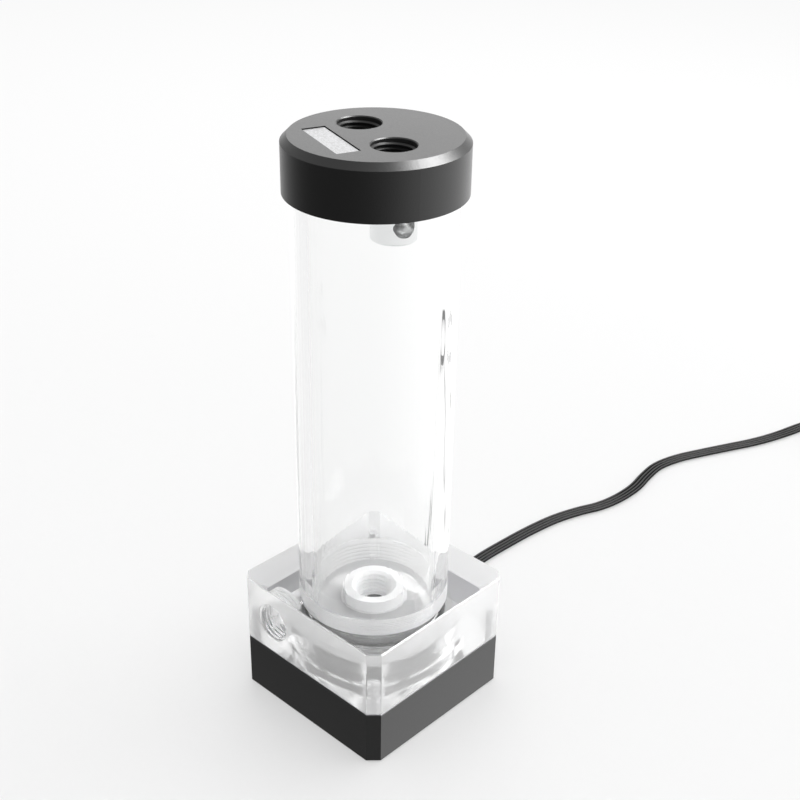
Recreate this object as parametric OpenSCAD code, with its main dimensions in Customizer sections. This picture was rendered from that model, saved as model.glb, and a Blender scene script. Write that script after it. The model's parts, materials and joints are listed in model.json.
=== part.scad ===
// Coolant pump with a clear cylindrical reservoir standing on it.
// Origin: centre of the underside of the pump base, +Z up, outlet port in the -Y face.

/* [Pump base and block] */
// Width of the square base and of the clear block on it
base_w = 63.6; // [61:0.2:70]
// Leg of the cut across each upright corner
corner_cut = 3.4; // [2:0.1:4.5]
// Height of the black base that holds the motor
base_h = 19.7; // [19.3:0.1:24]
// Height of the clear pump block
block_h = 24.3; // [23.8:0.1:30]
// Small chamfer along the outer edges of the base and the block
edge_break = 0.4; // [0.2:0.1:0.8]
// Distance of the corner screws from the side faces
corner_screw_inset = 4.8; // [4.4:0.1:5.6]

/* [Reservoir tube] */
// Outer diameter of the tube
tube_od = 50; // [48:0.5:52]
// Wall of the tube
tube_wall = 5; // [3.5:0.25:5.5]
// Length of tube between the block and the cap
tube_clear_len = 136.4; // [60:0.2:260]
// Length of tube screwed into the block
tube_thread_len = 11.7; // [9:0.1:12.2]
// Thickness of the flat gasket under the tube
gasket_t = 1; // [0.6:0.1:1.4]
// Depth of the reservoir floor below the top of the block
floor_drop = 6.6; // [5.8:0.1:8]
// Outer diameter of the suction boss on the reservoir floor
boss_d = 20.8; // [18:0.1:24]
// Height of the suction boss above the reservoir floor
boss_h = 4.1; // [2:0.1:5.5]

/* [Cap] */
// Outer diameter of the cap
cap_od = 55; // [54:0.5:60]
// Height of the cap
cap_h = 16.9; // [15.5:0.1:22]
// Chamfer round the top of the cap
cap_chamfer = 2; // [0.6:0.1:2.2]
// Angle of the line through both cap ports
cap_angle = -19.6; // [-180:0.2:180]
// Length of tube screwed into the cap
cap_thread_len = 10; // [8:0.1:11]
// Distance between the two cap ports
port_spacing = 22.7; // [21.5:0.1:23.4]
// Length of the label plate
label_len = 24.3; // [16:0.1:28]
// Width of the label plate
label_w = 6.9; // [4:0.1:7.4]
// Distance of the label plate from the centre of the cap
label_offset = 14.2; // [13.2:0.1:17]

/* [Ports] */
// Diameter of the G1/4 port bores
port_d = 13.2; // [13:0.05:13.5]
// Chamfer at the mouth of each port
port_chamfer = 0.3; // [0.1:0.05:0.6]
// Sideways distance of the outlet port from the centre
outlet_x = 16.3; // [15:0.1:17.5]
// Diameter of the drilled way from the pump chamber to the outlet port
outlet_drill_d = 7; // [5:0.1:7.4]
// Diameter of the inlet insert that hangs from one cap port
insert_d = 13.1; // [12:0.05:13.1]
// Length of the inlet insert below the cap
insert_drop = 10.1; // [8.5:0.1:20]
// Distance of the cross hole below the cap
insert_hole_drop = 4.7; // [3.6:0.1:5]
// Diameter of the cross hole in the inlet insert
insert_hole_d = 6.2; // [3:0.1:6.4]

/* [Pump chamber and impeller] */
// Diameter of the impeller
impeller_d = 36; // [30:0.5:37]
// Number of impeller blades
blade_count = 7; // [5:1:9]
// Thickness of each blade
blade_t = 1.4; // [1:0.1:1.8]
// Height of the blades above the impeller disc
blade_h = 6; // [4:0.1:6.4]
// Gap between the impeller and the chamber wall at the tongue
tongue_gap = 1; // [0.6:0.1:1.4]
// Growth of the chamber radius from the tongue to the outlet
volute_growth = 1.8; // [1:0.1:2]
// Diameter of the suction hole above the impeller
eye_d = 9; // [6:0.1:10]
// Mean radius of the sealing ring under the block
pump_seal_r = 23.7; // [23.5:0.1:24.2]

/* [Motor] */
// Diameter of the ceramic shaft
shaft_d = 3; // [2:0.1:3.4]
// Outer diameter of the ring magnet in the rotor
magnet_d = 16.6; // [15:0.1:17]
// Height of the ring magnet
magnet_h = 9; // [6:0.1:9.2]
// Diameter of the stator core
stator_d = 48; // [46:0.5:49]
// Height of the stator core
stator_h = 6; // [4:0.1:6.4]
// Number of stator teeth
tooth_count = 6; // [3:3:9]
// Thickness of the cover under the base
cover_t = 1.8; // [1.2:0.1:2]
// Thickness of the circuit board
board_t = 1.6; // [1:0.1:1.8]

/* [Cable] */
// Width of the flat four-wire cable
cable_w = 5.6; // [4:0.1:6]
// Thickness of the flat cable
cable_t = 1.4; // [1:0.1:1.6]
// Mean radius of the coil of spare cable
coil_r = 28; // [25:0.5:32]

/* [Hidden] */
$fn = 96;

// Extra length that lets a cut pass a face
over = 0.5;
// Clearance of parts that are glued or pressed together
seat_gap = 0.05;
// Radial running clearance of the shaft and of the screwed tube ends
run_gap = 0.05;
// Clearance round soft rings and inner rims
soft_gap = 0.3;

half_w = base_w / 2;
block_top_z = base_h + block_h;

// Tube and its seat in the block
tube_r = tube_od / 2;
tube_bore_r = tube_r - tube_wall;
thread_bore_r = tube_r + run_gap;
tube_bottom_z = block_top_z - tube_thread_len;
seat_z = tube_bottom_z - gasket_t;
floor_z = block_top_z - floor_drop;
floor_r = tube_bore_r - soft_gap;
boss_top_z = floor_z + boss_h;
gasket_rim = 0.5;

// Cap
cap_z = block_top_z + tube_clear_len;
cap_top_z = cap_z + cap_h;
tube_top_z = cap_z + cap_thread_len;
plug_r = tube_bore_r - soft_gap;
cap_slot_top_z = tube_top_z + 0.5;
ring_d = 1.8;
ring_groove_w = 2.4;
ring_groove_h = 1.7;
cap_ring_r = tube_r - tube_wall / 2;
label_depth = 0.6;
label_t = label_depth / 2;
label_gap = 0.25;

// Ports
port_r = port_d / 2;
port_land = 1;
port_land_r = 5.75;
insert_thread_len = 6;
cap_port_len = cap_h - insert_thread_len - port_land;
suction_thread_len = 8;
boss_mouth = 0.9;
outlet_z = base_h + block_h / 2;
outlet_wall = 1.2;
outlet_len = half_w - sqrt(pow(thread_bore_r, 2) - pow(outlet_x - port_r, 2)) - outlet_wall;

// Pump chamber
impeller_r = impeller_d / 2;
disc_gap = 0.6;
disc_t = 1.4;
roof_gap = 0.8;
blade_arc = 0.62;
blade_arc_shift = 1.04;
blade_arc_angle = -27;
blade_rim = 0.3;
disc_z = base_h + disc_gap;
blade_z = disc_z + disc_t;
chamber_top_z = blade_z + blade_h + roof_gap;
volute_start_r = impeller_r + tongue_gap;
tongue_angle = 215;
volute_sweep = 325;
volute_steps = 65;
outlet_drill_rise = 7.2;
outlet_drill_z = base_h + outlet_drill_rise;
outlet_drill_start = 2;
seal_groove_w = 2.1;
seal_groove_h = 2;

// Separating can and rotor
flange_t = 2;
flange_r = pump_seal_r + 3.3;
can_wall = 0.8;
can_floor_t = 1;
sleeve_t = 0.5;
rotor_r = magnet_d / 2 + seat_gap + sleeve_t;
rotor_gap = 0.4;
can_r = rotor_r + rotor_gap;
can_outer_r = can_r + can_wall;
magnet_z = base_h - flange_t - magnet_h;
can_floor_z = magnet_z - 1.1;
shaft_r = shaft_d / 2;
bush_r = shaft_r + run_gap;
bush_outer_r = shaft_r + 1.1;
hub_r = bush_outer_r + seat_gap + 2.2;
socket_r = 3.2;
socket_h = 0.6;
washer_t = 0.5;
washer_gap = 0.1;
washer_z = can_floor_z + socket_h;
bush_z = washer_z + washer_t + washer_gap;
nose_h = 4.4;
nose_cap_t = 0.9;
nose_tip_wall = 0.8;
bush_bore_top_z = blade_z + nose_h - nose_cap_t;
shaft_top_z = bush_bore_top_z - 0.3;
bush_top_z = bush_bore_top_z - 0.4;

// Motor in the base
cover_margin = 1.8;
pocket_margin = 6.8;
cover_r = half_w - cover_margin;
pocket_r = half_w - pocket_margin;
board_space = 2.6;
board_layout_r = 25;
board_z = cover_t + board_space;
ledge_z = board_z + board_t;
ledge_t = 2.8;
stator_z = ledge_z + ledge_t;
stator_r = stator_d / 2;
stator_ledge = 1.6;
yoke_w = 4;
tooth_w = 5;
tooth_tip_gap = 0.3;
shoe_t = 1.5;
shoe_half_angle = min(24, 180 / tooth_count - 4);
coil_build = 1.6;
coil_side = 1.9;
coil_inner_r = can_outer_r + tooth_tip_gap + shoe_t + 0.8;
coil_outer_r = stator_r - yoke_w - 0.6;
core_gap = 0.1;

// Screws
corner_screw_r = 2;
corner_head_r = 3.5;
corner_head_h = 4;
corner_screw_sink = 0.6;
corner_screw_depth = 11;
corner_xy = half_w - corner_screw_inset;
cover_screw_r = 1.2;
cover_head_r = 2.1;
cover_head_h = 1.1;
cover_screw_len = 6;
cover_screw_circle_r = (cover_r + pocket_r) / 2;
screw_gap = 0.2;

// Cable: where it leaves the base, its route [x, y, z, roll], its coil and its plug
cable_x = -15;
cable_z = 4;
grommet_w = cable_w + 2.8;
grommet_h = 3.4;
grommet_y = sqrt(pow(pocket_r, 2) - pow(abs(cable_x) - grommet_w / 2, 2));
cable_slot_y = sqrt(pow(pocket_r, 2) - pow(abs(cable_x) + grommet_w / 2, 2));
CABLE_ROUTE = [
    [cable_x, half_w, cable_z, 0],
    [-15, 41, 3.2, 0],
    [-15.5, 51, 1.7, 0],
    [-16.5, 61, 1, 0],
    [-18, 71, 0.8, 0],
    [-18.5, 82, 0.8, 0],
    [-18, 95, 0.8, 0],
    [-17, 109, 0.8, 0],
    [-15, 123, 0.8, 0],
    [-11.5, 135, 0.8, 0],
    [-7.5, 145, 0.8, 0],
    [-5.5, 156, 0.8, 0],
    [-5.5, 168, 0.8, 0],
    [-7.5, 179, 0.8, 0],
    [-8.5, 190, 0.8, 0],
    [-6, 202, 0.8, 0],
    [-1, 214, 0.8, 0],
    [5, 227, 0.8, 0],
    [11, 240, 0.8, 0],
    [15.5, 253, 0.8, 0],
    [19, 267, 0.9, 0],
    [22.5, 279, 2.6, 45],
    [26.5, 292.5, 3.4, 90]
];
TAIL_ROUTE = [
    [80, 276, 3.4, 90],
    [78.4, 268.5, 3.3, 45],
    [78, 262, 3.2, 0],
    [78, 258, 3.2, 0]
];
coil_centre = [54, 284];
coil_z = 0.6;
coil_build_w = 2 * cable_t + 0.2;
tie_angle = 40;
tie_w = 4;
tie_t = 0.5;
tie_gap = 0.1;
plug_centre = [78, 258];
plug_len = 14;
plug_w = 10.6;
plug_h = 5.8;
plug_z = 0.3;
pin_pitch = 2.54;
pin_hole = 1.8;
pin_hole_len = 9;
contact_depth = 6;

function rotated(p, a) = [p[0] * cos(a) - p[1] * sin(a), p[0] * sin(a) + p[1] * cos(a)];
function unit(v) = v / norm(v);

// Square with its corners cut off
module cut_square(w, cut) {
    h = w / 2;
    polygon([for (q = [0:3]) for (p = [[h, h - cut], [h - cut, h]]) rotated(p, 90 * q)]);
}

// Upright square block with cut corners and small chamfers at its top and bottom edges
module cut_block(w, cut, h, bevel) {
    hull() {
        translate([0, 0, bevel])
            linear_extrude(h - 2 * bevel)
                cut_square(w, cut);
        linear_extrude(h)
            cut_square(w - 2 * bevel, cut - bevel * (2 - sqrt(2)));
    }
}

module ring(outer_r, inner_r, h) {
    difference() {
        cylinder(r = outer_r, h = h);
        translate([0, 0, -over])
            cylinder(r = inner_r, h = h + 2 * over);
    }
}

module torus(mean_r, wire_d) {
    rotate_extrude()
        translate([mean_r, 0])
            circle(d = wire_d, $fn = 32);
}

// Port bore along +Z with its mouth at z = 0, for cutting
module port_bore(len) {
    translate([0, 0, -len])
        cylinder(r = port_r, h = len + over);
    translate([0, 0, -port_chamfer])
        cylinder(r1 = port_r, r2 = port_r + port_chamfer, h = port_chamfer);
    cylinder(r = port_r + port_chamfer, h = over);
}

// Rectangle with round corners, centred
module round_rect(w, h, r) {
    square([w - 2 * r, h], center = true);
    square([w, h - 2 * r], center = true);
    for (sx = [-1, 1], sy = [-1, 1])
        translate([sx * (w / 2 - r), sy * (h / 2 - r)])
            circle(r = r, $fn = 32);
}

module at_corners() {
    for (sx = [-1, 1], sy = [-1, 1])
        translate([sx * corner_xy, sy * corner_xy, 0])
            children();
}

module at_cover_screws() {
    for (i = [0:3])
        rotate(90 * i)
            translate([cover_screw_circle_r, 0, 0])
                children();
}

// Black square base, hollow for the motor
module base_housing() {
    color([0.12, 0.12, 0.13])
    difference() {
        cut_block(base_w, corner_cut, base_h, edge_break);
        // Seat of the separating can's flange
        translate([0, 0, base_h - flange_t])
            cylinder(r = flange_r + seat_gap, h = flange_t + over);
        // Bore for the stator and the ledge that it rests on
        translate([0, 0, stator_z])
            cylinder(r = stator_r + seat_gap, h = base_h);
        translate([0, 0, ledge_z - over])
            cylinder(r = stator_r - stator_ledge, h = base_h);
        // Pocket for the circuit board and recess for the cover
        translate([0, 0, -over])
            cylinder(r = pocket_r, h = ledge_z + over);
        translate([0, 0, -over])
            cylinder(r = cover_r + seat_gap, h = cover_t + over);
        at_corners() {
            translate([0, 0, -over])
                cylinder(r = corner_screw_r + screw_gap, h = base_h + 2 * over, $fn = 48);
            translate([0, 0, -over])
                cylinder(r = corner_head_r + screw_gap, h = corner_screw_sink + corner_head_h + over);
        }
        at_cover_screws()
            cylinder(r = cover_screw_r + seat_gap, h = cover_screw_len + over, $fn = 32);
        // Way out for the cable
        translate([cable_x, half_w, cable_z])
            cube([
                grommet_w + 2 * seat_gap, 2 * (half_w - cable_slot_y), grommet_h + 2 * seat_gap
            ], center = true);
    }
}

// Round cover under the base, with the rim that holds the circuit board
module bottom_cover() {
    rim_r = pocket_r - soft_gap;
    color([0.14, 0.14, 0.15])
    difference() {
        union() {
            cylinder(r = cover_r, h = cover_t);
            ring(rim_r, rim_r - 1, board_z);
        }
        at_cover_screws() {
            translate([0, 0, -over])
                cylinder(r = cover_screw_r + screw_gap, h = cover_t + 2 * over, $fn = 32);
            translate([0, 0, -over])
                cylinder(r = cover_head_r + screw_gap, h = cover_head_h + over, $fn = 32);
        }
        // The rim is open where the cable comes in
        translate([cable_x, pocket_r / 2 + over, cover_t + board_space / 2])
            cube([grommet_w + 4, pocket_r, board_space], center = true);
    }
}

// Plastic can that keeps the coolant out of the motor: flange, cup and shaft socket
module separation_can() {
    color([0.2, 0.2, 0.22])
    difference() {
        union() {
            translate([0, 0, base_h - flange_t])
                cylinder(r = flange_r, h = flange_t);
            translate([0, 0, can_floor_z - can_floor_t])
                cylinder(r = can_outer_r, h = base_h - can_floor_z);
        }
        difference() {
            translate([0, 0, can_floor_z])
                cylinder(r = can_r, h = base_h);
            translate([0, 0, can_floor_z - over])
                cylinder(r = socket_r, h = socket_h + over, $fn = 48);
        }
        translate([0, 0, can_floor_z - can_floor_t / 2])
            cylinder(r = shaft_r + seat_gap / 2, h = base_h, $fn = 48);
    }
}

// Laminated stator: yoke, teeth and pole shoes round the can
module stator_core() {
    tip_r = can_outer_r + tooth_tip_gap;
    color([0.55, 0.56, 0.58])
    translate([0, 0, stator_z])
    difference() {
        union() {
            ring(stator_r, stator_r - yoke_w, stator_h);
            for (i = [0:tooth_count - 1])
                rotate(360 * i / tooth_count) {
                    translate([tip_r, -tooth_w / 2, 0])
                        cube([stator_r - yoke_w / 2 - tip_r, tooth_w, stator_h]);
                    rotate_extrude(angle = 2 * shoe_half_angle, start = -shoe_half_angle)
                        translate([tip_r - shoe_t / 2, 0])
                            square([1.5 * shoe_t, stator_h]);
                }
        }
        translate([0, 0, -over])
            cylinder(r = tip_r, h = stator_h + 2 * over);
    }
}

// One winding round each stator tooth
module stator_coils() {
    color([0.72, 0.42, 0.2])
    for (i = [0:tooth_count - 1])
        rotate(360 * i / tooth_count)
            translate([coil_inner_r, 0, stator_z + stator_h / 2])
                rotate([90, 0, 90])
                    linear_extrude(coil_outer_r - coil_inner_r)
                        difference() {
                            round_rect(tooth_w + 2 * coil_side, stator_h + 2 * coil_build, 1.4);
                            square([tooth_w + 2 * core_gap, stator_h + 2 * core_gap], center = true);
                        }
}

// Motor driver board under the stator
module circuit_board() {
    color([0.05, 0.3, 0.16])
    translate([0, 0, board_z])
        cylinder(r = pocket_r - 0.2, h = board_t);
}

// Driver chip, power transistors, chokes and capacitors on the underside of the board
module board_parts() {
    // Each entry: centre x, centre y, width, depth, height on a board of board_layout_r
    layout = [
        [0, 0, 7, 7, 1.2],
        [11, 7, 5, 6, 1],
        [11, -7, 5, 6, 1],
        [-1, -14, 6, 5, 1],
        [-12, -7, 5.5, 5.5, 2.2],
        [-10, 2, 3, 1.6, 1],
        [4, 11, 3, 1.6, 1],
        [-2, 8, 1.6, 3, 0.8]
    ];
    color([0.1, 0.1, 0.11])
    for (p = layout * pocket_r / board_layout_r)
        translate([p[0] - p[2] / 2, p[1] - p[3] / 2, board_z - p[4]])
            cube([p[2], p[3], p[4]]);
}

module pump_shaft() {
    color([0.92, 0.92, 0.9])
    translate([0, 0, can_floor_z - can_floor_t / 2])
        cylinder(r = shaft_r, h = shaft_top_z - can_floor_z + can_floor_t / 2, $fn = 48);
}

module thrust_washer() {
    color([0.85, 0.85, 0.82])
    translate([0, 0, washer_z])
        ring(bush_outer_r, shaft_r + run_gap, washer_t);
}

// One blade, swept back against the anticlockwise turn: a thin arc from the hub to the rim
module blade() {
    arc_r = impeller_r * blade_arc;
    intersection() {
        rotate(blade_arc_angle)
            translate([arc_r * blade_arc_shift, 0])
                difference() {
                    circle(r = arc_r + blade_t / 2);
                    circle(r = arc_r - blade_t / 2);
                }
        translate([hub_r * 0.6, -blade_t])
            square([impeller_r, impeller_r + blade_t]);
        circle(r = impeller_r - blade_rim);
    }
}

// Impeller: sleeve over the magnet, hub with a closed round nose, disc and curved blades
module impeller() {
    color([0.08, 0.08, 0.09])
    difference() {
        union() {
            translate([0, 0, disc_z])
                cylinder(r = impeller_r, h = disc_t);
            translate([0, 0, magnet_z])
                cylinder(r = rotor_r, h = disc_z - magnet_z + disc_t / 2);
            rotate_extrude()
                intersection() {
                    translate([0, blade_z]) {
                        circle(r = hub_r + 0.4, $fn = 64);
                        square([bush_outer_r + nose_tip_wall, nose_h]);
                    }
                    translate([0, blade_z - disc_t / 2])
                        square([2 * hub_r, nose_h + disc_t / 2]);
                }
            translate([0, 0, blade_z - disc_t / 2])
                linear_extrude(blade_h + disc_t / 2)
                    for (i = [0:blade_count - 1])
                        rotate(360 * i / blade_count)
                            blade();
        }
        // Room for the magnet, open at the bottom
        translate([0, 0, magnet_z - over])
            difference() {
                cylinder(r = magnet_d / 2 + seat_gap, h = magnet_h + over + seat_gap);
                cylinder(r = hub_r, h = magnet_h + 2 * over);
            }
        translate([0, 0, magnet_z - over])
            cylinder(r = bush_outer_r + seat_gap, h = bush_bore_top_z - magnet_z + over, $fn = 64);
    }
}

module impeller_bush() {
    color([0.25, 0.25, 0.27])
    translate([0, 0, bush_z])
        ring(bush_outer_r, bush_r, bush_top_z - bush_z);
}

module rotor_magnet() {
    color([0.3, 0.3, 0.32])
    translate([0, 0, magnet_z])
        ring(magnet_d / 2, hub_r + seat_gap, magnet_h);
}

// Outline of the spiral chamber: its radius grows steadily from the tongue to the outlet
module volute_outline() {
    polygon([
        for (i = [0:volute_steps])
            let (t = i / volute_steps, a = tongue_angle + volute_sweep * t)
            (volute_start_r + volute_growth * t) * [cos(a), sin(a)]
    ]);
}

// Clear block: tube seat, reservoir floor with its suction boss, spiral chamber and outlet
module pump_top() {
    color([0.86, 0.92, 0.94, 0.5])
    difference() {
        translate([0, 0, base_h])
            cut_block(base_w, corner_cut, block_h, edge_break);
        // Threaded well for the tube, with the floor and the boss left standing in it
        difference() {
            translate([0, 0, seat_z])
                cylinder(r = thread_bore_r, h = block_h);
            translate([0, 0, seat_z - over])
                cylinder(r = floor_r, h = floor_z - seat_z + over);
            translate([0, 0, seat_z - over])
                cylinder(r = boss_d / 2, h = boss_top_z - seat_z + over);
        }
        // Suction way from the boss down to the eye of the impeller
        translate([0, 0, boss_top_z - suction_thread_len])
            cylinder(r = port_r, h = suction_thread_len + over);
        translate([0, 0, boss_top_z - boss_mouth])
            cylinder(r1 = port_r, r2 = port_r + boss_mouth, h = boss_mouth);
        translate([0, 0, chamber_top_z - over])
            cylinder(r = eye_d / 2, h = boss_top_z - chamber_top_z);
        // Spiral pump chamber, open below
        translate([0, 0, base_h - over])
            linear_extrude(chamber_top_z - base_h + over)
                volute_outline();
        // Outlet: drilled way out of the spiral into the port
        translate([-outlet_x, -outlet_drill_start, outlet_drill_z])
            rotate([90, 0, 0])
                cylinder(d = outlet_drill_d, h = half_w - outlet_len - outlet_drill_start + over, $fn = 64);
        translate([-outlet_x, -half_w, outlet_z])
            rotate([90, 0, 0])
                port_bore(outlet_len);
        // Groove for the sealing ring
        translate([0, 0, base_h - over])
            ring(pump_seal_r + seal_groove_w / 2, pump_seal_r - seal_groove_w / 2, seal_groove_h + over);
        at_corners()
            translate([0, 0, base_h - over])
                cylinder(r = corner_screw_r + seat_gap, h = corner_screw_depth + 2 * over, $fn = 48);
    }
}

module pump_oring() {
    color([0.03, 0.03, 0.03])
    translate([0, 0, base_h + ring_d / 2 + seat_gap])
        torus(pump_seal_r, ring_d);
}

// Clear flat gasket that the tube is screwed down on
module tube_gasket() {
    color([0.88, 0.89, 0.88])
    translate([0, 0, seat_z])
        ring(tube_r - gasket_rim, tube_bore_r + gasket_rim, gasket_t);
}

module reservoir_tube() {
    color([0.88, 0.94, 0.96, 0.35])
    translate([0, 0, tube_bottom_z])
        ring(tube_r, tube_bore_r, tube_top_z - tube_bottom_z);
}

// Seal between the cap and the end of the tube
module cap_oring() {
    color([0.03, 0.03, 0.03])
    translate([0, 0, tube_top_z + 0.25 + ring_d / 2])
        torus(cap_ring_r, ring_d);
}

// Black cap with a skirt over the tube, a plug inside it and two ports
module top_cap() {
    color([0.15, 0.15, 0.16])
    translate([0, 0, cap_z])
    rotate(cap_angle)
    difference() {
        rotate_extrude()
            polygon([
                [0, 0], [cap_od / 2, 0], [cap_od / 2, cap_h - cap_chamfer],
                [cap_od / 2 - cap_chamfer, cap_h], [0, cap_h]
            ]);
        // Slot that the end of the tube is screwed into, with the groove for its seal
        translate([0, 0, -over])
            ring(thread_bore_r, plug_r, cap_slot_top_z - cap_z + over);
        translate([0, 0, cap_slot_top_z - cap_z - over])
            ring(cap_ring_r + ring_groove_w / 2, cap_ring_r - ring_groove_w / 2, ring_groove_h + over);
        for (side = [-1, 1])
            translate([side * port_spacing / 2, 0, 0]) {
                translate([0, 0, cap_h])
                    port_bore(cap_port_len);
                translate([0, 0, insert_thread_len - over])
                    cylinder(r = port_land_r, h = port_land + 2 * over);
                translate([0, 0, -over])
                    cylinder(r = port_r, h = insert_thread_len + over);
            }
        // Shallow recess for the label plate
        translate([0, -label_offset, cap_h])
            cube([label_len + 2 * label_gap, label_w + 2 * label_gap, 2 * label_depth], center = true);
    }
}

module label_plate() {
    color([0.8, 0.8, 0.8])
    translate([0, 0, cap_top_z - label_depth])
        rotate(cap_angle)
            translate([0, -label_offset, 0])
                linear_extrude(label_t)
                    round_rect(label_len, label_w, 0.4);
}

// Insert that turns the incoming coolant sideways
module inlet_insert() {
    hole_z = insert_drop - insert_hole_drop;
    lead = 0.5;
    color([0.82, 0.83, 0.84])
    translate([0, 0, cap_z - insert_drop])
    rotate(cap_angle)
    translate([port_spacing / 2, 0, 0])
    difference() {
        rotate_extrude()
            polygon([
                [0, 0], [insert_d / 2 - lead, 0], [insert_d / 2, lead],
                [insert_d / 2, insert_drop + insert_thread_len - seat_gap],
                [0, insert_drop + insert_thread_len - seat_gap]
            ]);
        translate([0, 0, hole_z])
            cylinder(d = insert_d - 5, h = insert_drop + insert_thread_len, $fn = 64);
        translate([0, 0, hole_z])
            rotate([0, 90, 0])
                cylinder(d = insert_hole_d, h = insert_d, center = true, $fn = 64);
    }
}

// Socket head screw standing on its head, with the underside of the head at z = 0
module socket_screw(screw_r, head_r, head_h, len, socket_r) {
    cylinder(r = screw_r, h = len, $fn = 48);
    difference() {
        translate([0, 0, -head_h])
            cylinder(r = head_r, h = head_h, $fn = 48);
        translate([0, 0, -head_h - over])
            cylinder(r = socket_r, h = head_h / 2 + over, $fn = 6);
    }
}

// Four screws that hold the clear block to the base
module corner_screws() {
    head_z = corner_screw_sink + corner_head_h;
    color([0.25, 0.25, 0.26])
    at_corners()
        translate([0, 0, head_z])
            socket_screw(
                corner_screw_r, corner_head_r, corner_head_h,
                base_h - head_z + corner_screw_depth, 1.7
            );
}

module cover_screws() {
    color([0.25, 0.25, 0.26])
    at_cover_screws()
        translate([0, 0, cover_head_h])
            socket_screw(
                cover_screw_r, cover_head_r, cover_head_h - seat_gap,
                cover_screw_len - cover_head_h, 0.9
            );
}

// Rubber block that seals the flat cable into the side of the base
module cable_grommet() {
    color([0.06, 0.06, 0.06])
    translate([cable_x, grommet_y, cable_z])
        rotate([-90, 0, 0])
            linear_extrude(half_w - grommet_y)
                round_rect(grommet_w, grommet_h, 0.6);
}

// Outline of the flat cable: a strip with its corners taken off
function strip_outline() =
    let (w = cable_w / 2, t = cable_t / 2, c = cable_t / 4)
    [
        [w, c - t], [w, t - c], [w - c, t], [c - w, t],
        [-w, t - c], [-w, c - t], [c - w, -t], [w - c, -t]
    ];

function route_point(route, i) = [route[i][0], route[i][1], route[i][2]];

function route_heading(route, i) =
    unit(route_point(route, min(i + 1, len(route) - 1)) - route_point(route, max(i - 1, 0)));

// Points of the strip's outline round one point of the route, turned by that point's roll
function strip_ring(route, i) =
    let (
        ahead = route_heading(route, i),
        side = unit(cross(ahead, [0, 0, 1])),
        up = cross(side, ahead),
        roll = route[i][3],
        across = side * cos(roll) + up * sin(roll),
        normal = up * cos(roll) - side * sin(roll)
    )
    [for (p = strip_outline()) route_point(route, i) + across * p[0] + normal * p[1]];

module strip_along(route) {
    sides = len(strip_outline());
    last = len(route) - 1;
    points = [for (i = [0:last]) each strip_ring(route, i)];
    walls = [
        for (i = [0:last - 1], k = [0:sides - 1])
            let (a = i * sides + k, b = i * sides + (k + 1) % sides)
            each [[a, b, b + sides], [a, b + sides, a + sides]]
    ];
    start_cap = [for (k = [sides - 1:-1:0]) k];
    end_cap = [for (k = [0:sides - 1]) last * sides + k];
    polyhedron(points, concat([start_cap], walls, [end_cap]), convexity = 6);
}

// Flat cable: from the base to the coil, and from the coil to the plug
module cable() {
    color([0.05, 0.05, 0.05]) {
        strip_along(CABLE_ROUTE);
        strip_along(TAIL_ROUTE);
    }
}

module cable_coil() {
    color([0.05, 0.05, 0.05])
    translate([coil_centre[0], coil_centre[1], coil_z])
        ring(coil_r + coil_build_w / 2, coil_r - coil_build_w / 2, cable_w);
}

// Tie round the coil
module cable_tie() {
    inner_w = coil_build_w + 2 * tie_gap;
    inner_h = cable_w + 2 * tie_gap;
    color([0.1, 0.1, 0.1])
    translate([coil_centre[0], coil_centre[1], coil_z + cable_w / 2])
        rotate(tie_angle)
            translate([coil_r, tie_w / 2, 0])
                rotate([90, 0, 0])
                    linear_extrude(tie_w)
                        difference() {
                            square([inner_w + 2 * tie_t, inner_h + 2 * tie_t - tie_gap], center = true);
                            square([inner_w, inner_h], center = true);
                        }
}

// Positions of the four plug contacts
module at_contacts() {
    for (i = [0:3])
        translate([plug_centre[0] + (i - 1.5) * pin_pitch, plug_centre[1] - plug_len, plug_z + plug_h / 2])
            children();
}

// Four-way fan header plug with its two guide ribs
module connector_housing() {
    rib_w = 1.2;
    color([0.07, 0.07, 0.07])
    difference() {
        translate([plug_centre[0] - plug_w / 2, plug_centre[1] - plug_len, plug_z]) {
            cube([plug_w, plug_len, plug_h]);
            for (x = [0.6, 5.4])
                translate([x, 0, plug_h - over])
                    cube([rib_w, plug_len * 0.7, 1 + over]);
        }
        at_contacts()
            translate([-pin_hole / 2, -over, -pin_hole / 2])
                cube([pin_hole, pin_hole_len + over, pin_hole]);
    }
}

// Spring contacts inside the plug
module connector_terminals() {
    side = pin_hole - 2 * seat_gap;
    color([0.8, 0.66, 0.35])
    at_contacts()
        translate([-side / 2, 1, -side / 2])
            difference() {
                cube([side, pin_hole_len - 1 - seat_gap, side]);
                translate([0.3, -over, 0.3])
                    cube([side - 0.6, contact_depth, side - 0.6]);
            }
}

base_housing();
bottom_cover();
separation_can();
stator_core();
stator_coils();
circuit_board();
board_parts();
pump_shaft();
thrust_washer();
impeller();
impeller_bush();
rotor_magnet();
pump_top();
pump_oring();
tube_gasket();
reservoir_tube();
cap_oring();
top_cap();
label_plate();
inlet_insert();
corner_screws();
cover_screws();
cable_grommet();
cable();
cable_coil();
cable_tie();
connector_housing();
connector_terminals();
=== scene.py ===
"""Coolant pump with a clear reservoir: finishes, threads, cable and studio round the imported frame."""
import json
import math

import bpy
from mathutils import Matrix, Vector

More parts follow.
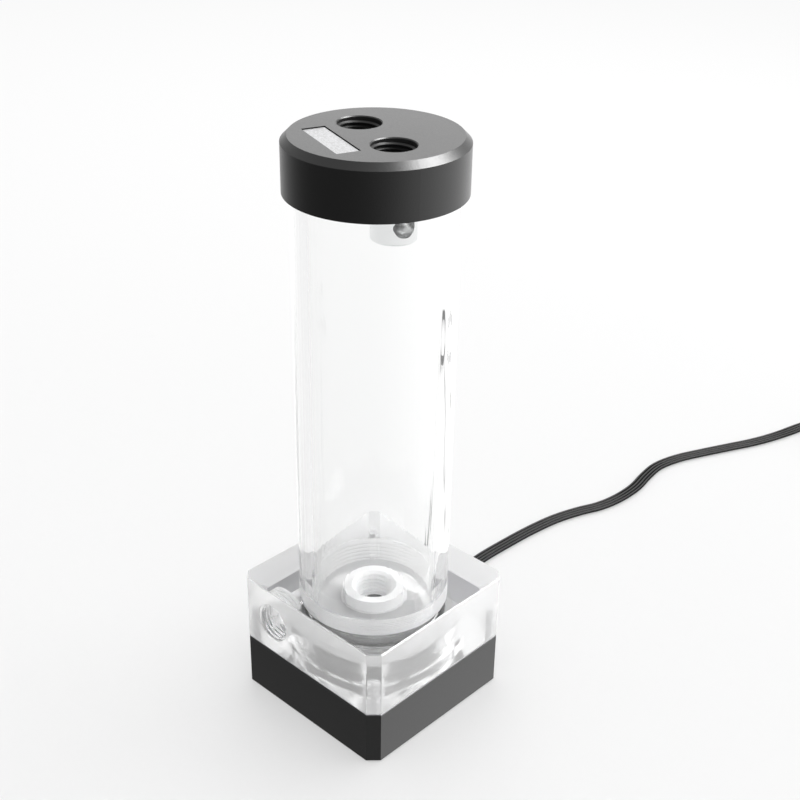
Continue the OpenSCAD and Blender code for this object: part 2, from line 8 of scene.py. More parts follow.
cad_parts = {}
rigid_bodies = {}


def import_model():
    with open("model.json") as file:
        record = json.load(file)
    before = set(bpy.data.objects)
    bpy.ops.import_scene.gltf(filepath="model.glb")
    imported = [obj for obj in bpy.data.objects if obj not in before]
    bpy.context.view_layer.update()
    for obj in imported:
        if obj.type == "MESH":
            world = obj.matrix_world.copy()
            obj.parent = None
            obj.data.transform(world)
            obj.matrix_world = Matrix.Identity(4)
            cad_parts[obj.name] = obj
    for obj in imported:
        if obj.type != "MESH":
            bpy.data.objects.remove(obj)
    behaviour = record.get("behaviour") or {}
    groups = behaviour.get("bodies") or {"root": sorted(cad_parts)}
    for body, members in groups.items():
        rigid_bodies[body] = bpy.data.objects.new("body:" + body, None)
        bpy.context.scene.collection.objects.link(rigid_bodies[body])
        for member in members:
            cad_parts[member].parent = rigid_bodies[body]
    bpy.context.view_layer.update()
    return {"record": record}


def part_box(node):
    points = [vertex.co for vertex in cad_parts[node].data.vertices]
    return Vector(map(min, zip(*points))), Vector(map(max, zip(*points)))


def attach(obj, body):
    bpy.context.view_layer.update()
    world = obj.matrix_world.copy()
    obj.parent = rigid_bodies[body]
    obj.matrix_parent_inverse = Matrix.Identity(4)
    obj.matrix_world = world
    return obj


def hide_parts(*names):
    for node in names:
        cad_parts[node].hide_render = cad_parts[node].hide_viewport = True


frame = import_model()

MM = 0.001
UP = Vector((0, 0, 1))


# ---------------------------------------------------------------- places taken from the frame


def extent(node, axis):
    """A CAD node's lowest and highest point along an axis, in millimetres."""
    low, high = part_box(node)
    return round(low[axis] / MM, 3), round(high[axis] / MM, 3)


def mount_place(name):
    """A mount's place, in metres, from the record."""
    return next(m["pos_m"] for m in frame["record"]["mounts"] if m["name"] == name)


BLOCK_HALF_WIDTH_MM = extent("pump_top", 0)[1]
BLOCK_UNDERSIDE_MM, BLOCK_TOP_MM = extent("pump_top", 2)
TUBE_FOOT_MM, TUBE_TOP_MM = extent("reservoir_tube", 2)
CAP_TOP_MM = extent("top_cap", 2)[1]


# ---------------------------------------------------------------- camera

LENS_MM = 59.7
CAMERA_PLACE = Vector((0.2569, -0.2604, 0.3115))
CAMERA_AHEAD = Vector((-0.6023, 0.6377, -0.4802)).normalized()
CAMERA_ROLL = math.radians(0.946)


def add_camera():
    right = CAMERA_AHEAD.cross(UP).normalized()
    above = right.cross(CAMERA_AHEAD)
    turned_right = right * math.cos(CAMERA_ROLL) + above * math.sin(CAMERA_ROLL)
    turned_above = above * math.cos(CAMERA_ROLL) - right * math.sin(CAMERA_ROLL)
    bpy.ops.object.camera_add(location=CAMERA_PLACE)
    camera = bpy.context.object
    axes = Matrix((turned_right, turned_above, -CAMERA_AHEAD)).transposed()
    camera.rotation_euler = axes.to_euler()
    camera.data.lens = LENS_MM
    camera.data.clip_start = 0.01
    bpy.context.scene.camera = camera


# ---------------------------------------------------------------- modelling helpers


def only(piece):
    """Select this piece alone and make it the active one."""
    bpy.ops.object.select_all(action="DESELECT")
    piece.select_set(True)
    bpy.context.view_layer.objects.active = piece


def bake_place(piece):
    """Move a piece's place, turn and scale into its mesh."""
    only(piece)
    bpy.ops.object.transform_apply(location=True, rotation=True, scale=True)


def finished(piece, name, material, body, smooth_angle=30):
    """Bake a piece's place into its mesh, smooth it, name it, and hang it on its body."""
    bake_place(piece)
    bpy.ops.object.shade_smooth_by_angle(angle=math.radians(smooth_angle))
    piece.name = name
    piece.data.name = name
    piece.data.materials.clear()
    piece.data.materials.append(material)
    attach(piece, body)
    return piece


def mesh_object(name, points, edges, faces):
    mesh = bpy.data.meshes.new(name)
    mesh.from_pydata(points, edges, faces)
    mesh.update()
    made = bpy.data.objects.new(name, mesh)
    bpy.context.collection.objects.link(made)
    return made


def merged_copy(node):
    """A welded copy of a CAD node, ready to be reworked."""
    copy = bpy.data.objects[node].copy()
    copy.data = copy.data.copy()
    copy.parent = None
    bpy.context.collection.objects.link(copy)
    only(copy)
    bpy.ops.object.mode_set(mode="EDIT")
    bpy.ops.mesh.select_all(action="SELECT")
    bpy.ops.mesh.remove_doubles(threshold=1e-6)
    bpy.ops.mesh.customdata_custom_splitnormals_clear()
    bpy.ops.object.mode_set(mode="OBJECT")
    return copy


def add_modifier(piece, kind, **settings):
    only(piece)
    modifier = piece.modifiers.new(kind.lower(), kind)
    for key, value in settings.items():
        setattr(modifier, key, value)
    bpy.ops.object.modifier_apply(modifier=modifier.name)


def combine(piece, tool, operation):
    """Boolean the tool into the piece and throw the tool away."""
    add_modifier(piece, "BOOLEAN", operation=operation, object=tool, solver="MANIFOLD")
    bpy.data.objects.remove(tool)


# A thread ridge's height at its root and at its crest, as shares of the pitch
RIDGE_FOOT = 0.88
RIDGE_CREST = 0.18


def thread_ridge(name, size, pitch, steps, place=(0, 0, 0), tilt=0):
    """A closed helical ridge, made about the Z axis and then tilted about X and put in its place.

    Its size is in millimetres and its steps are those of one turn.
    """
    root_r, crest_r, start, end = size
    foot_h = RIDGE_FOOT * pitch
    crest_h = RIDGE_CREST * pitch
    middle = start + foot_h / 2
    profile = [
        (root_r, 0, start),
        (root_r, 0, start + foot_h),
        (crest_r, 0, middle + crest_h / 2),
        (crest_r, 0, middle - crest_h / 2),
    ]
    turns = (end - start - foot_h) / pitch
    points = [Vector(p) * MM for p in profile]
    ridge = mesh_object(name, points, [(0, 1), (1, 2), (2, 3), (3, 0)], [])
    add_modifier(
        ridge,
        "SCREW",
        axis="Z",
        angle=2 * math.pi * turns,
        screw_offset=pitch * turns * MM,
        iterations=1,
        steps=round(steps * turns),
        render_steps=round(steps * turns),
        use_smooth_shade=False,
    )
    bpy.ops.object.mode_set(mode="EDIT")
    bpy.ops.mesh.select_all(action="SELECT")
    bpy.ops.mesh.fill_holes(sides=4)
    bpy.ops.mesh.select_all(action="SELECT")
    bpy.ops.mesh.normals_make_consistent(inside=False)
    bpy.ops.object.mode_set(mode="OBJECT")
    ridge.location = place
    ridge.rotation_euler.x = tilt
    bake_place(ridge)
    return ridge


# ---------------------------------------------------------------- cable

# Route of the cable on the bench, in millimetres, with its roll in degrees
CABLE_ROUTE = [
    (-15, 31.8, 4, 0), (-15, 41, 3.2, 0), (-15.5, 51, 1.7, 0), (-16.5, 61, 1, 0),
    (-18, 71, 0.8, 0), (-18.5, 82, 0.8, 0), (-18, 95, 0.8, 0), (-17, 109, 0.8, 0),
    (-15, 123, 0.8, 0), (-11.5, 135, 0.8, 0), (-7.5, 145, 0.8, 0), (-5.5, 156, 0.8, 0),
    (-5.5, 168, 0.8, 0), (-7.5, 179, 0.8, 0), (-8.5, 190, 0.8, 0), (-6, 202, 0.8, 0),
    (-1, 214, 0.8, 0), (5, 227, 0.8, 0), (11, 240, 0.8, 0), (15.5, 253, 0.8, 0),
    (19, 267, 0.9, 0), (22.5, 279, 2.6, 45), (26.5, 292.5, 3.4, 90),
]
TAIL_ROUTE = [(80, 276, 3.4, 90), (78.4, 268.5, 3.3, 45), (78, 262, 3.2, 0), (78, 258, 3.2, 0)]
COIL_CENTRE = (54, 284)
COIL_TURNS = 1.5
COIL_POINTS = 48  # in a turn
WIRES = 4
WIRE_PITCH = 1.4
WIRE_R = 0.46 * WIRE_PITCH
WIRE_SEAM = 10  # degrees of each wire's side that lie in the seam
WIRE_POINTS = 9  # across the top of a wire
# How narrow the painted highlight band along each wire's crest is
CREST_SHARPNESS = 10


def smooth_route(given, step=3.0):
    """Catmull-Rom points about step millimetres apart through the given ones."""
    given = [Vector(p) for p in given]
    out = []
    for i in range(len(given) - 1):
        a, b = given[i], given[i + 1]
        before = given[i - 1] if i else a * 2 - b
        after = given[i + 2] if i + 2 < len(given) else b * 2 - a
        count = max(1, round((b - a).to_3d().length / step))
        for k in range(count):
            t = k / count
            straight = 2 * a + (b - before) * t
            bent = (2 * before - 5 * a + 4 * b - after) * t * t
            twisted = (3 * a - before - 3 * b + after) * t ** 3
            out.append(0.5 * (straight + bent + twisted))
    out.append(given[-1])
    return out


def coil_route():
    """Turns of the spare cable, on edge, wound inwards from the route's end to the tail's start."""
    centre = Vector(COIL_CENTRE)
    start = Vector(CABLE_ROUTE[-1][:2]) - centre
    end = Vector(TAIL_ROUTE[0][:2]) - centre
    first = math.atan2(start.y, start.x)
    count = round(COIL_POINTS * COIL_TURNS)
    turns = []
    for k in range(1, count):
        t = k / count
        radius = start.length + (end.length - start.length) * t
        angle = first - 2 * math.pi * COIL_TURNS * t
        across = centre + radius * Vector((math.cos(angle), math.sin(angle)))
        turns.append((across.x, across.y, CABLE_ROUTE[-1][2], 90))
    return turns


def cable_outline():
    """Cross-section of the wires side by side, with how near each point is to a wire's crest."""
    step = (180 - 2 * WIRE_SEAM) / (WIRE_POINTS - 1)
    lobes = []
    for wire in range(WIRES):
        across = (wire - (WIRES - 1) / 2) * WIRE_PITCH
        for k in range(WIRE_POINTS):
            angle = math.radians(180 - WIRE_SEAM - k * step)
            crest = math.sin(angle) ** CREST_SHARPNESS
            lobes.append((across + WIRE_R * math.cos(angle), WIRE_R * math.sin(angle), crest))
    return lobes + [(-x, -y, crest) for x, y, crest in lobes]


def add_cable(material):
    """The whole cable as one mesh along its route: out of the base, round the coil, to the plug."""
    route = smooth_route(CABLE_ROUTE + coil_route() + TAIL_ROUTE)
    outline = cable_outline()
    places = [p.to_3d() * MM for p in route]
    points = []
    for i, place in enumerate(places):
        ahead = (places[min(i + 1, len(places) - 1)] - places[max(i - 1, 0)]).normalized()
        side = ahead.cross(UP).normalized()
        above = side.cross(ahead)
        roll = math.radians(route[i][3])
        across = side * math.cos(roll) + above * math.sin(roll)
        normal = above * math.cos(roll) - side * math.sin(roll)
        points += [place + (across * x + normal * y) * MM for x, y, _ in outline]
    n = len(outline)
    last = (len(places) - 1) * n
    faces = [tuple(range(n))]
    for i in range(len(places) - 1):
        for k in range(n):
            a, b = i * n + k, i * n + (k + 1) % n
            faces.append((a, a + n, b + n, b))
    faces.append(tuple(last + k for k in reversed(range(n))))
    cable = mesh_object("flat_cable", points, [], faces)
    # Each point's nearness to a wire's crest, which the jacket uses for a painted highlight along each
    # wire
    crest_highlight_shares = cable.data.attributes.new("crest", "FLOAT", "POINT")
    crest_highlight_shares.data.foreach_set("value", [point[2] for point in outline] * len(places))
    finished(cable, "flat_cable", material, "pump", smooth_angle=60)
    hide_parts("cable", "cable_coil")
    sum((b - a).length for a, b in zip(places, places[1:]))


# ---------------------------------------------------------------- clear block and tube

RESERVOIR_FLOOR_MM = 37.4
AIR_GAP_MM = 0.03
G14_PITCH = 1.337
TUBE_THREAD_PITCH = 1.5
TUBE_STEPS = 120
G14_STEPS = 64

# Threads, in millimetres: radius at the root, radius at the crest, start and end along the axis
THREAD_MARGIN = 0.4  # from a thread's end to the face beside it
LOWER_START = TUBE_FOOT_MM + 1.3
UPPER_START = TUBE_TOP_MM - 10.8
WELL_THREAD = (25.35, 24.8, LOWER_START, BLOCK_TOP_MM - THREAD_MARGIN)
TUBE_FOOT_THREAD = (25.4, 24.65, LOWER_START, BLOCK_TOP_MM + THREAD_MARGIN)
TUBE_HEAD_THREAD = (25.4, 24.65, UPPER_START, TUBE_TOP_MM - THREAD_MARGIN)
SUCTION_THREAD = (6.75, 6.0, RESERVOIR_FLOOR_MM - 3.5, RESERVOIR_FLOOR_MM + 3.3)
OUTLET_THREAD = (6.75, 6.0, 0.5, 7.1)


def add_clear_block(material):
    """The pump block: the CAD shape with its thread ridges, its underside a hair off the base."""
    block = merged_copy("pump_top")
    for vertex in block.data.vertices:
        if vertex.co.z < (BLOCK_UNDERSIDE_MM + AIR_GAP_MM) * MM:
            vertex.co.z += AIR_GAP_MM * MM
    well = thread_ridge("well_ridge", WELL_THREAD, TUBE_THREAD_PITCH, TUBE_STEPS)
    combine(block, well, "UNION")
    suction = thread_ridge("suction_ridge", SUCTION_THREAD, G14_PITCH, G14_STEPS)
    combine(block, suction, "UNION")
    x, _, z = mount_place("outlet_port")
    mouth = (x, -BLOCK_HALF_WIDTH_MM * MM, z)
    inwards = -math.pi / 2
    outlet = thread_ridge("outlet_ridge", OUTLET_THREAD, G14_PITCH, G14_STEPS, mouth, inwards)
    combine(block, outlet, "UNION")
    finished(block, "clear_block", material, "pump")
    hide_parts("pump_top")


def add_clear_tube(material):
    """The tube: the CAD shape with a thread groove at each end, the lower one in step with the well."""
    tube = merged_copy("reservoir_tube")
    foot = thread_ridge("foot_groove", TUBE_FOOT_THREAD, TUBE_THREAD_PITCH, TUBE_STEPS)
    combine(tube, foot, "DIFFERENCE")
    head = thread_ridge("head_groove", TUBE_HEAD_THREAD, TUBE_THREAD_PITCH, TUBE_STEPS)
    combine(tube, head, "DIFFERENCE")
    finished(tube, "clear_tube", material, "tube")
    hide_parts("reservoir_tube")


# ---------------------------------------------------------------- cap

PORT_THREAD = (6.7, 5.95, CAP_TOP_MM - 9.7, CAP_TOP_MM - THREAD_MARGIN)
PORT_STEPS = 72


def add_port_threads(material):
    """A thread ridge in each of the cap's ports."""
    for port in ("inlet_port", "fill_port"):
        x, y, _ = mount_place(port)
        ridge = thread_ridge(port + "_ridge", PORT_THREAD, G14_PITCH, PORT_STEPS, (x, y, 0))
        finished(ridge, port + "_thread", material, "cap")


# ---------------------------------------------------------------- finishes


class Wire:
    """An output socket that takes part in sums."""

    def __init__(self, graph, socket):
        self.graph = graph
        self.socket = socket

    def __add__(self, other):
        return self.graph.math("ADD", self, other)

    def __sub__(self, other):
        return self.graph.math("SUBTRACT", self, other)

    def __rsub__(self, other):
        return self.graph.math("SUBTRACT", other, self)

    def __mul__(self, other):
        return self.graph.math("MULTIPLY", self, other)

    __radd__ = __add__
    __rmul__ = __mul__


class Graph:
    """A node tree under construction, with one method that adds any node."""

    def __init__(self, owner):
        owner.use_nodes = True
        self.tree = owner.node_tree

    def feed(self, socket, value):
        if isinstance(value, Wire):
            self.tree.links.new(value.socket, socket)
        else:
            socket.default_value = value

    def add(self, kind, settings=None, sockets=None, output=0):
        """Add a node: its settings first, then the values or links of its sockets."""
        made = self.tree.nodes.new(kind)
        for key, value in (settings or {}).items():
            setattr(made, key, value)
        for key, value in (sockets or {}).items():
            self.feed(made.inputs[key], value)
        return Wire(self, made.outputs[output])

    def math(self, operation, a, b=0.0, c=0.0):
        return self.add("ShaderNodeMath", {"operation": operation}, {0: a, 1: b, 2: c})

    def axis(self, vector, index):
        return self.add("ShaderNodeSeparateXYZ", None, {0: vector}, index)

    def between(self, value, low, high, to_low=0.0, to_high=1.0):
        sockets = {0: value, 1: low, 2: high, 3: to_low, 4: to_high}
        return self.add("ShaderNodeMapRange", {"interpolation_type": "SMOOTHSTEP"}, sockets)

    def mixed(self, factor, first, second):
        return self.add("ShaderNodeMixShader", None, {0: factor, 1: first, 2: second})

    def path(self, question):
        """What the Light Path node answers about the ray, such as Is Camera Ray."""
        return self.add("ShaderNodeLightPath", output=question)


class Finish(Graph):
    """A material, its Principled shader, and patterns on the piece's own coordinates."""

    def __init__(self, name, **constants):
        self.material = bpy.data.materials.new(name)
        super().__init__(self.material)
        self.shader = self.tree.nodes["Principled BSDF"]
        self.surface = self.tree.nodes["Material Output"].inputs["Surface"]
        for label, value in constants.items():
            self.shader.inputs[label.replace("_", " ")].default_value = value
        self.place = self.add("ShaderNodeTexCoord", output="Object")
        self.facing = self.add("ShaderNodeTexCoord", output="Normal")
        self.from_inside = self.add("ShaderNodeNewGeometry", output="Backfacing")

    def stretched(self, x, y, z):
        return self.add("ShaderNodeMapping", None, {"Vector": self.place, "Scale": (x, y, z)})

    def radius(self):
        """Distance from the tube's axis."""
        across = {0: self.place, 1: (1, 1, 0)}
        flat = self.add("ShaderNodeVectorMath", {"operation": "MULTIPLY"}, across)
        return self.add("ShaderNodeVectorMath", {"operation": "LENGTH"}, {0: flat}, 1)

    def noise(self, scale, detail=2.0, vector=None):
        sockets = {"Vector": vector or self.place, "Scale": scale, "Detail": detail}
        return self.add("ShaderNodeTexNoise", None, sockets)

    def blend_colour(self, factor, a, b):
        return self.add("ShaderNodeMix", {"data_type": "RGBA"}, {0: factor, 6: a, 7: b}, 2)

    def set(self, label, value):
        self.feed(self.shader.inputs[label], value)

    def bump(self, height, distance, strength=1.0):
        sockets = {"Height": height, "Distance": distance, "Strength": strength}
        self.set("Normal", self.add("ShaderNodeBump", None, sockets))


def toward(share, start, end):
    """A value that goes from start to end as the share goes from nought to one."""
    return start + share * (end - start)


def grey(level):
    return (level, level, level, 1)


def scaled(colour, share):
    """A colour made darker or lighter, no lighter than white."""
    return (*(min(1, share * c) for c in colour), 1)


def anodised_black():
    """Black anodised aluminium, fine in grain and uneven in gloss; the face under the clear block is
    coloured mid-grey, a painted sheen.
    """
    f = Finish("anodised_black", Specular_IOR_Level=0.46)
    grain = f.noise(2400, 3)
    cloud = f.noise(22, 3)
    black = f.blend_colour(cloud, grey(0.004), grey(0.008))
    # Painted sheen: the face the clear block sits on is coloured bluish mid-grey in place of its
    # reflection
    sheen_painted_face = f.math("COMPARE", f.axis(f.place, 2), BLOCK_UNDERSIDE_MM * MM, 0.0002)
    f.set("Base Color", f.blend_colour(sheen_painted_face, black, (0.27, 0.27, 0.285, 1)))
    f.set("Roughness", 0.32 + 0.1 * grain + 0.05 * cloud)
    f.bump(grain, 0.00002)
    return f.material


def plain_plastic(name, level, tint=(1, 1, 1), rough=0.5, gloss=0.5):
    """Moulded plastic, rubber or ceramic: a cloudy tone and a fine grain."""
    f = Finish(name, Specular_IOR_Level=gloss)
    grain = f.noise(1800)
    cloud = f.noise(60)
    dark, light = scaled(tint, 0.85 * level), scaled(tint, 1.15 * level)
    f.set("Base Color", f.blend_colour(cloud, dark, light))
    f.set("Roughness", rough - 0.05 + 0.1 * grain)
    f.bump(grain, 0.00002)
    return f.material


def etched_plate():
    """Bare label plate: satin metal with a fine etched grain."""
    f = Finish("label_metal", Metallic=1.0)
    grain = f.between(f.noise(2200, 4), 0.4, 0.6)
    f.set("Base Color", f.blend_colour(grain, grey(0.31), (0.38, 0.38, 0.39, 1)))
    f.set("Roughness", 0.5 - 0.08 * grain)
    f.bump(grain, 0.00002)
    return f.material


def metal(name, colour, rough, stretch=(1, 1, 1)):
    """Worked metal; its tool lines run across the axis with the greatest stretch."""
    f = Finish(name, Metallic=1.0)
    lines = f.noise(900, 3, f.stretched(*stretch))
    f.set("Base Color", f.blend_colour(lines, scaled(colour, 0.88), (*colour, 1)))
    f.set("Roughness", rough - 0.06 + 0.14 * lines)
    f.bump(lines, 0.00001)
    return f.material


def part_cut(f, share, through, painted_shade=0.0):
    """Lay this share of the white of a cut face over the clear shader.

    The white is a skin that throws light back and, by through, a veil that lets it on. By the painted
    shade share the skin turns into a greyer copy of itself, painted shade on the faces it is laid on.
    """
    white = {"Color": (0.97, 0.97, 0.975, 1)}
    unshaded_skin = f.add("ShaderNodeBsdfDiffuse", None, white)
    # Painted shade: a greyer copy of the white skin
    shaded_skin = f.add("ShaderNodeBsdfDiffuse", None, {"Color": grey(0.87)})
    skin = f.mixed(painted_shade, unshaded_skin, shaded_skin)
    veil = f.add("ShaderNodeBsdfTranslucent", None, white)
    clear = Wire(f, f.shader.outputs[0])
    f.feed(f.surface, f.mixed(share, clear, f.mixed(through, skin, veil)))


ACRYLIC_IOR = 1.49
ACRYLIC_TINT = (0.998, 1.0, 0.999, 1)

# Zones of the tube's finish, in millimetres: the threads, outside the polished bore
FOOT_ZONE_TOP_MM = TUBE_FOOT_THREAD[3] + 0.1
HEAD_ZONE_START_MM = TUBE_HEAD_THREAD[2] - 0.1
TUBE_BORE_ZONE_R = 20.2

# Zones of the block's finish, in millimetres; a corner cut lies where |x| + |y| passes its sum
FACE_DEPTH = 0.3
CORNER_CUT = 3.4
OUTER_FACE_MM = BLOCK_HALF_WIDTH_MM - FACE_DEPTH
CORNER_CUT_SUM_MM = 2 * BLOCK_HALF_WIDTH_MM - CORNER_CUT - FACE_DEPTH
CHAMBER_ZONE_R = 26.0
CHAMBER_ZONE_TOP_MM = 29.0
SEAL_GROOVE_R = 23.7
SEAL_GROOVE_REACH = 2.2
BOSS_ZONE_R = 11.2
EYE_ZONE_R = 4.8
EYE_ZONE_TOP_MM = 34.5


def clear_acrylic():
    """Polished clear tube, with a faint bloom on its cut threads and ends."""
    f = Finish("clear_acrylic", Transmission_Weight=1.0, IOR=ACRYLIC_IOR)
    f.set("Base Color", ACRYLIC_TINT)
    height = f.axis(f.place, 2)
    foot = f.math("LESS_THAN", height, FOOT_ZONE_TOP_MM * MM)
    head = f.math("GREATER_THAN", height, HEAD_ZONE_START_MM * MM)
    cut = (foot + head) * f.math("GREATER_THAN", f.radius(), TUBE_BORE_ZONE_R * MM)
    f.set("Roughness", 0.004 + 0.012 * f.noise(70) + 0.15 * cut)
    part_cut(f, 0.2 * cut, 0.5 * f.from_inside)
    return f.material


def clear_silicone():
    f = Finish("clear_silicone", Transmission_Weight=0.9, IOR=1.41)
    f.set("Base Color", (0.95, 0.96, 0.96, 1))
    f.set("Roughness", 0.25 + 0.1 * f.noise(500))
    return f.material


def milled_acrylic():
    """Block cut from clear sheet: top and underside keep the sheet's polish, the rest is satin.

    The chamber, the sealing groove and the suction eye are nearly clear. Seen from outside, the boss
    and the outer faces are the whitest.
    """
    f = Finish("milled_acrylic", Transmission_Weight=1.0, IOR=ACRYLIC_IOR)
    f.set("Base Color", ACRYLIC_TINT)
    level = f.between(f.math("ABSOLUTE", f.axis(f.facing, 2)), 0.9, 0.97)
    height = f.axis(f.place, 2)
    top, underside, floor = (
        f.math("COMPARE", height, at * MM, 0.0003)
        for at in (BLOCK_TOP_MM, BLOCK_UNDERSIDE_MM, RESERVOIR_FLOOR_MM)
    )
    radius = f.radius()
    below = f.math("LESS_THAN", height, CHAMBER_ZONE_TOP_MM * MM)
    groove = below * f.math("COMPARE", radius, SEAL_GROOVE_R * MM, SEAL_GROOVE_REACH * MM)
    cut = (1.0 - level * (top + underside + 0.6 * floor)) * (1.0 - groove)
    f.set("Roughness", 0.01 + cut * (0.14 + 0.05 * f.noise(40)))

    far_x = f.math("ABSOLUTE", f.axis(f.place, 0))
    far_y = f.math("ABSOLUTE", f.axis(f.place, 1))
    side = f.math("GREATER_THAN", f.math("MAXIMUM", far_x, far_y), OUTER_FACE_MM * MM)
    corner = f.math("GREATER_THAN", far_x + far_y, CORNER_CUT_SUM_MM * MM)
    outer = f.math("MAXIMUM", side, corner)
    chamber = below * f.math("LESS_THAN", radius, CHAMBER_ZONE_R * MM)
    boss = f.math("LESS_THAN", radius, BOSS_ZONE_R * MM) * (1.0 - below)
    eye = f.math("LESS_THAN", radius, EYE_ZONE_R * MM)
    eye = eye * f.math("LESS_THAN", height, EYE_ZONE_TOP_MM * MM)

    inner_share = 0.12 + 0.6 * f.from_inside + boss * (0.6 - 0.4 * f.from_inside)
    inner_share = inner_share * (1.0 - 0.88 * chamber) * (1.0 - eye)
    outer_share = 0.39 + 0.25 * f.from_inside
    share = cut * toward(outer, inner_share, outer_share) + 0.33 * level * floor
    # The outer faces take the greyer skin: painted shade that darkens them
    part_cut(f, share, f.from_inside * (0.5 + 0.2 * outer), outer)
    return f.material


def cable_jacket():
    """Black wire insulation, coloured lighter along the crest of each wire: a painted highlight."""
    f = Finish("cable_black", Specular_IOR_Level=0.05)
    grain = f.noise(1500, 3)
    crest = f.add("ShaderNodeAttribute", {"attribute_name": "crest"}, None, 2)
    # Painted highlight: the crest attribute lightens each wire's crest towards grey
    f.set("Base Color", f.blend_colour(crest * (0.75 + 0.5 * grain), grey(0.005), grey(0.085)))
    f.set("Roughness", 0.26 + 0.1 * grain)
    f.bump(grain, 0.00002)
    return f.material


def make_finishes():
    green = (0.12, 0.8, 0.35)
    return {
        "anodised_black": anodised_black(),
        "cover_black": plain_plastic("cover_black", 0.03, rough=0.55),
        "can_plastic": plain_plastic("can_plastic", 0.22, rough=0.4),
        "core_steel": metal("core_steel", (0.42, 0.43, 0.45), 0.4, (1, 1, 60)),
        "copper_winding": metal("copper_winding", (0.7, 0.32, 0.14), 0.35, (40, 40, 1)),
        "board_green": plain_plastic("board_green", 0.22, green, 0.3),
        "chip_black": plain_plastic("chip_black", 0.03),
        "ceramic_white": plain_plastic("ceramic_white", 0.75, rough=0.2),
        "impeller_plastic": plain_plastic("impeller_plastic", 0.02, rough=0.45),
        "carbon_bush": plain_plastic("carbon_bush", 0.05, rough=0.4),
        "magnet_grey": metal("magnet_grey", (0.22, 0.22, 0.23), 0.5),
        "clear_acrylic": clear_acrylic(),
        "black_rubber": plain_plastic("black_rubber", 0.005, rough=0.6),
        "clear_silicone": clear_silicone(),
        "label_metal": etched_plate(),
        "insert_metal": metal("insert_metal", (0.92, 0.93, 0.93), 0.22, (1, 1, 12)),
        "screw_steel": metal("screw_steel", (0.3, 0.3, 0.31), 0.35),
        "cable_black": cable_jacket(),
        "tie_black": plain_plastic("tie_black", 0.01, gloss=0.2),
        "plug_black": plain_plastic("plug_black", 0.01, rough=0.45, gloss=0.2),
        "contact_brass": metal("contact_brass", (0.8, 0.62, 0.3), 0.3),
    }


def dress_frame(finishes):
    for part in frame["record"]["subparts"]:
        carried = bpy.data.objects[part["node"]]
        carried.data.materials.clear()
        carried.data.materials.append(finishes[part["material_slot"]])


# ---------------------------------------------------------------- studio

BACKDROP = 0.95
DIFFUSE_FILL = 1.05
UPPER_ROOM = 0.87
DARK_SIDE = 0.1
BRIGHT_SIDE = 1.85
PAPER = 0.745
FLOOR_GLOW = 0.4
LIT_SIDE = (0.70, 0.71)
CAMERA_SIDE = (0.70, -0.71)
CAMERA_SIDE_SHARE = 0.8
SIDE_REACH = 1.1
ROOM_RISE = (-0.1, 0.3)
GLOW_REACH = (0.3, 1.3)  # metres from the tube's axis
MIDDLE = (0, 0, 0.1)

# Softboxes: place and width in metres, power in watts
BACK_SOFTBOX = ((-0.9, 1.0, 0.85), 1.2, 6)
RIGHT_SOFTBOX = ((0.55, 1.15, 0.9), 1.3, 7.5)
EDGE_LIGHT = ((0.756, 0.672, 1.156), 0.9, 85)


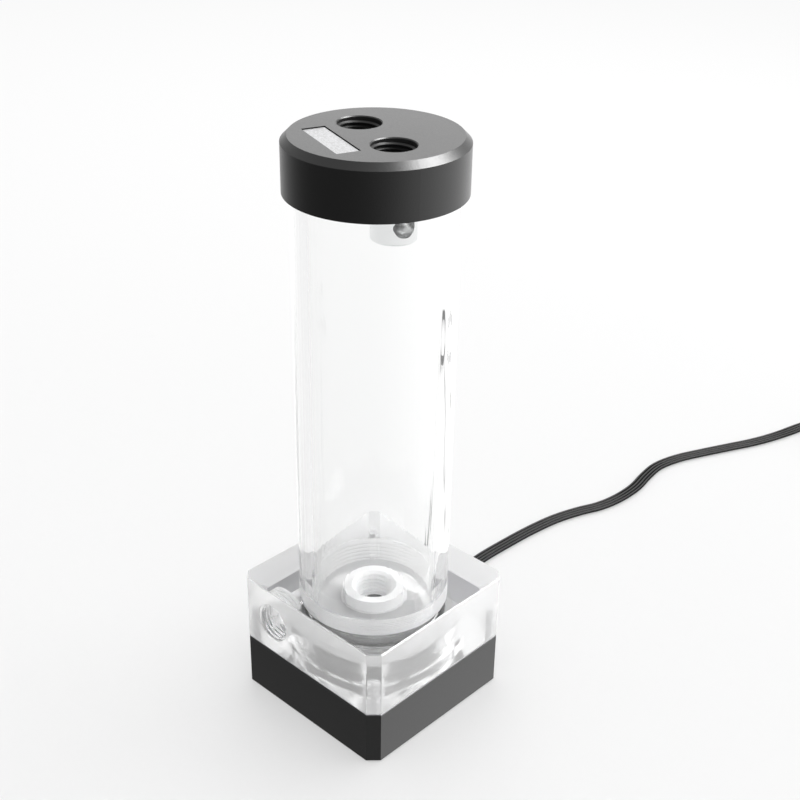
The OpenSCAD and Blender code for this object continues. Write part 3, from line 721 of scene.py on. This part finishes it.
def add_world():
    """White all round; in gloss the room is dark at front left and bright at the right and back."""
    world = bpy.data.worlds.new("studio")
    bpy.context.scene.world = world
    graph = Graph(world)
    ahead = graph.add("ShaderNodeTexCoord", output="Generated")
    x, y, z = (graph.axis(ahead, i) for i in range(3))
    lit = x * LIT_SIDE[0] + y * LIT_SIDE[1]
    near_camera = x * CAMERA_SIDE[0] + y * CAMERA_SIDE[1]
    side = lit - near_camera * CAMERA_SIDE_SHARE
    low_room = graph.between(side, -SIDE_REACH, SIDE_REACH, DARK_SIDE, BRIGHT_SIDE)
    room = toward(graph.between(z, *ROOM_RISE), low_room, UPPER_ROOM)
    after_paper = graph.math("GREATER_THAN", graph.path("Diffuse Depth"), 0.5)
    plain = toward(after_paper, BACKDROP, DIFFUSE_FILL)
    mirrored = graph.path("Is Reflection Ray") * graph.path("Is Glossy Ray")
    background = graph.tree.nodes["Background"]
    background.inputs["Color"].default_value = grey(1)
    graph.feed(background.inputs["Strength"], toward(mirrored, plain, room))


def add_floor():
    """White bench: a glow that camera and glass see, and paper that takes the shadow."""
    bpy.ops.mesh.primitive_plane_add(size=8, location=(0, 0, -0.0002))
    floor = bpy.context.object
    floor.name = "studio_floor"
    floor.visible_glossy = False
    f = Finish("studio_floor")
    glow = f.add("ShaderNodeEmission", None, {"Color": grey(1), "Strength": BACKDROP})
    paper = f.add("ShaderNodeBsdfDiffuse", None, {"Color": grey(PAPER)})
    through = f.math("MAXIMUM", f.path("Is Glossy Ray"), f.path("Is Transmission Ray"))
    seen = f.math("MAXIMUM", f.path("Is Camera Ray"), through)
    near_or_far = f.between(f.radius(), *GLOW_REACH, FLOOR_GLOW, 1.0)
    f.feed(f.surface, f.mixed(seen * near_or_far, paper, glow))
    floor.data.materials.append(f.material)


def add_softbox(name, place, size, power):
    """A square lamp that faces the middle of the pump."""
    bpy.ops.object.light_add(type="AREA", location=place)
    lamp = bpy.context.object
    lamp.name = name
    lamp.data.shape = "SQUARE"
    lamp.data.size = size
    lamp.data.energy = power
    lamp.rotation_euler = (Vector(MIDDLE) - Vector(place)).to_track_quat("-Z", "Y").to_euler()
    return lamp


def add_studio():
    """World, floor and lamps, with enough bounces for light to cross the satin block."""
    add_world()
    add_floor()
    add_softbox("back_softbox", *BACK_SOFTBOX)
    right_softbox = add_softbox("right_softbox", *RIGHT_SOFTBOX)
    right_softbox.visible_glossy = False
    edge_light = add_softbox("edge_light", *EDGE_LIGHT)
    edge_light.visible_diffuse = False
    edge_light.visible_transmission = False
    bpy.context.scene.view_settings.view_transform = "Standard"
    cycles = bpy.context.scene.cycles
    cycles.max_bounces = 32
    cycles.diffuse_bounces = 16
    cycles.glossy_bounces = 16
    cycles.transmission_bounces = 24


# ---------------------------------------------------------------- the pump

add_camera()
finishes = make_finishes()
add_cable(finishes["cable_black"])
dress_frame(finishes)
add_clear_block(milled_acrylic())
add_clear_tube(finishes["clear_acrylic"])
add_port_threads(finishes["anodised_black"])
add_studio()
